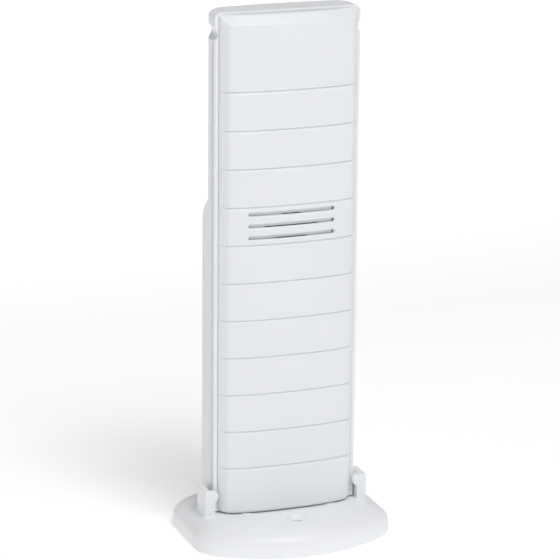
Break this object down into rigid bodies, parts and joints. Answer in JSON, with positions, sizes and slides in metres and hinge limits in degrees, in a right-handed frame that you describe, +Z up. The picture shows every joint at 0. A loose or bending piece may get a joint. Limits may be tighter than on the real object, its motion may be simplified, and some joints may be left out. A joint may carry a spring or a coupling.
{
  "type": "outdoor weather transmitter",
  "caption": "Slim white outdoor temperature and humidity transmitter with a louvred clip-on front cover, rear battery bay and an oval clip-in foot.",
  "frame": {"origin": "centre of the foot's underside, on the surface that it stands on", "axes": "+Z up, the louvred cover faces -Y and +X is to the right when facing it"},
  "size_m": [0.052, 0.0452, 0.1357],
  "materials": {
    "white_abs": "satin moulded white ABS",
    "battery_foil": "glossy foil sleeve over a steel can, no lettering",
    "nickel": "nickel-plated spring steel",
    "screw_steel": "zinc-plated steel",
    "board_green": "green solder mask over copper tracks",
    "sensor_white": "white moulded sensor body with a small air hole",
    "ceramic_tan": "fired ceramic",
    "epoxy_black": "black epoxy",
    "crystal_can": "drawn metal can",
    "capacitor_sleeve": "shrink sleeve with a pale stripe",
    "copper": "enamelled copper wire",
    "lead_red": "red wire insulation",
    "lead_black": "black wire insulation"
  },
  "bodies": {
    "foot": {"stand": "white_abs"},
    "case": {"front_case": "white_abs", "rear_case": "white_abs", "battery_left": "battery_foil", "battery_right": "battery_foil", "plus_contact": "nickel", "minus_contact": "nickel", "link_contact": "nickel", "minus_spring": "nickel", "link_spring": "nickel", "circuit_board": "board_green", "humidity_sensor": "sensor_white", "thermistor": "ceramic_tan", "processor_blob": "epoxy_black", "radio_chip": "epoxy_black", "radio_crystal": "crystal_can", "clock_crystal": "crystal_can", "buffer_capacitor": "capacitor_sleeve", "small_capacitors": "ceramic_tan", "small_resistors": "epoxy_black", "antenna_wire": "copper", "positive_lead": "lead_red", "negative_lead": "lead_black", "case_screws": "screw_steel", "board_screws": "screw_steel"},
    "cover": {"front_cover": "white_abs"},
    "door": {"battery_door": "white_abs"}
  },
  "joints": [
    {"name": "case_lift", "type": "slide", "parent": "foot", "child": "case", "axis": [0, 0, 1], "range_m": [0, 0.03]},
    {"name": "cover_pull", "type": "slide", "parent": "case", "child": "cover", "axis": [0, -1, 0], "range_m": [0, 0.02]},
    {"name": "door_tilt", "type": "hinge", "parent": "case", "child": "door", "pos_m": [0, 0.0143, 0.0146], "axis": [-1, 0, 0], "range_deg": [0, 80]}
  ]
}
